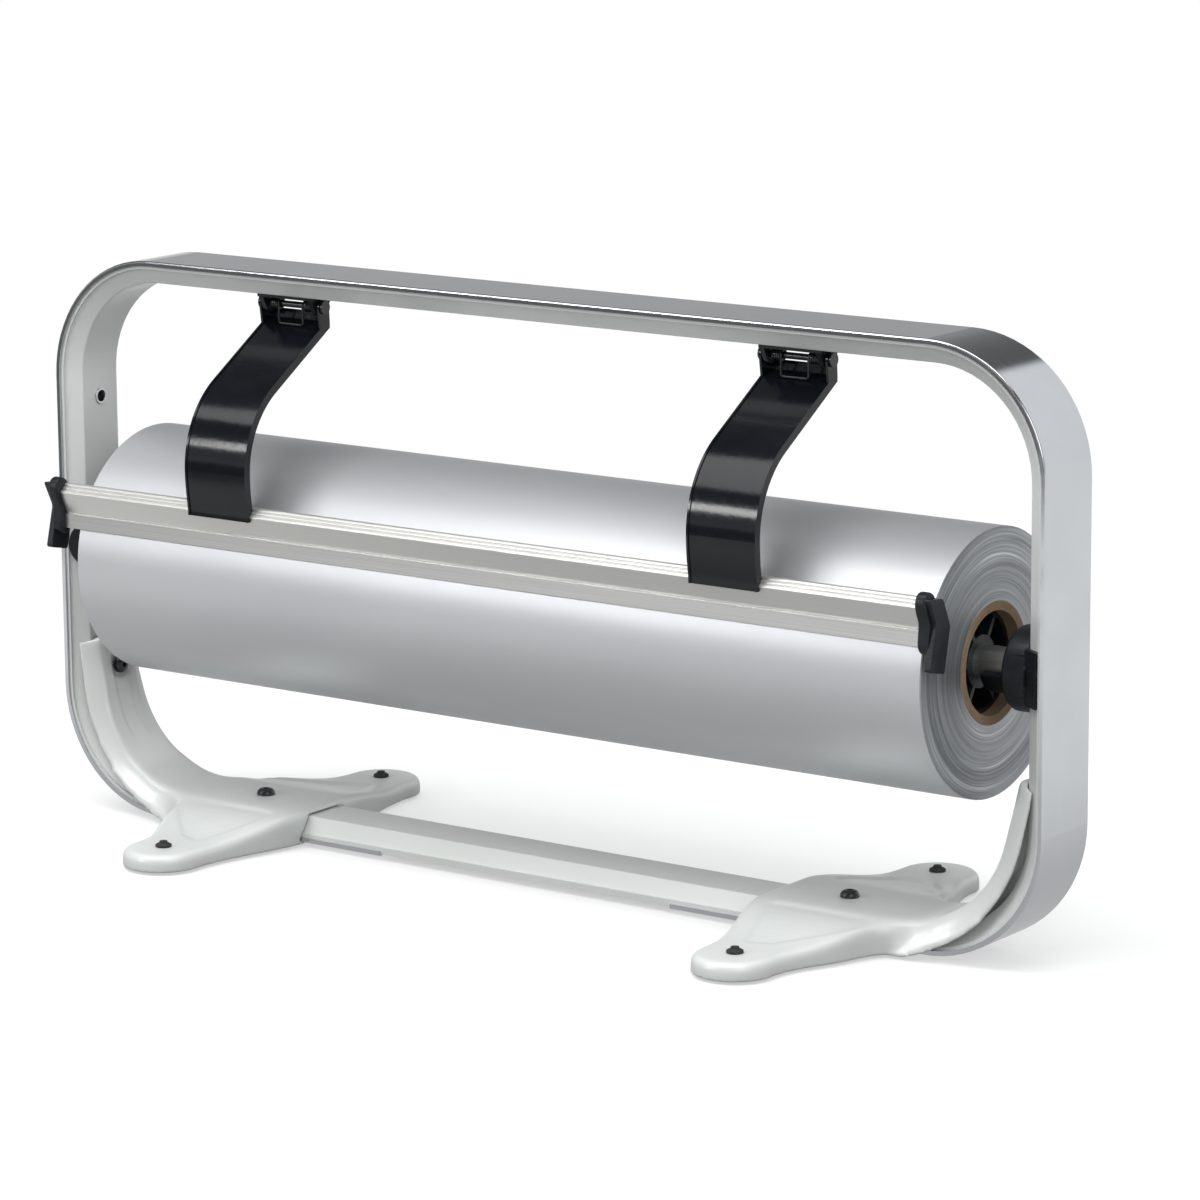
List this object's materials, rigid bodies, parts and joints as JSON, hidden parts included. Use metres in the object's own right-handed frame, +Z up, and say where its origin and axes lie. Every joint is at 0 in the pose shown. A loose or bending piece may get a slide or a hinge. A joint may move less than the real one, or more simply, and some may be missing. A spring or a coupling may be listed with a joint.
{
  "type": "gift wrap cutter",
  "caption": "Counter-top gift wrap cutter: chrome-edged hoop frame on two pressed feet, silver roll on a lift-out rod, sprung cutting bar on two black levers.",
  "frame": {"origin": "on the table under the middle of the frame", "axes": "X along the roll (+X to the operator's right), +Y to the rear, +Z up"},
  "size_m": [0.587, 0.2152, 0.2898],
  "materials": {
    "painted": "light silver-grey paint, satin",
    "chrome": "bright plated strip",
    "zinc": "plated eyelet",
    "black_steel": "blackened steel",
    "rubber": "matt rubber",
    "black_plastic": "satin moulded plastic",
    "black_gloss": "gloss black coating",
    "rod_steel": "satin drawn steel tube",
    "wrap": "satin silver gift wrap, wound",
    "board": "wound board core",
    "aluminium": "satin anodised extrusion",
    "steel": "polished tear edge"
  },
  "bodies": {
    "frame": {"frame_profile": "painted", "chrome_strip": "chrome", "eyelets": "zinc", "foot_left": "painted", "foot_right": "painted", "foot_screws": "black_steel", "rubber_feet": "rubber", "bearing_left": "black_plastic", "bearing_right": "black_plastic", "bracket_left": "black_plastic", "bracket_right": "black_plastic", "hinge_pins": "black_steel"},
    "cutter": {"lever_left": "black_gloss", "lever_right": "black_gloss", "cutting_bar": "aluminium", "tear_edge": "steel", "end_cap_left": "black_plastic", "end_cap_right": "black_plastic", "spring_left": "black_steel", "spring_right": "black_steel"},
    "axle": {"rod": "rod_steel"},
    "roll": {"paper_roll": "wrap", "core": "board", "hub_left": "black_plastic", "hub_right": "black_plastic"}
  },
  "joints": [
    {"name": "cutter_hinge", "type": "hinge", "parent": "frame", "child": "cutter", "pos_m": [0, -0.0032, 0.2724], "axis": [-1, 0, 0], "range_deg": [0, 75], "stiffness_Nm_per_rad": 1, "springref_deg": -34.38},
    {"name": "rod_lift", "type": "slide", "parent": "frame", "child": "axle", "axis": [0, 0.6, 0.8], "range_m": [0, 0.08]},
    {"name": "roll_spin", "type": "hinge", "parent": "axle", "child": "roll", "pos_m": [0, 0.003, 0.1389], "axis": [1, 0, 0], "continuous": true}
  ]
}
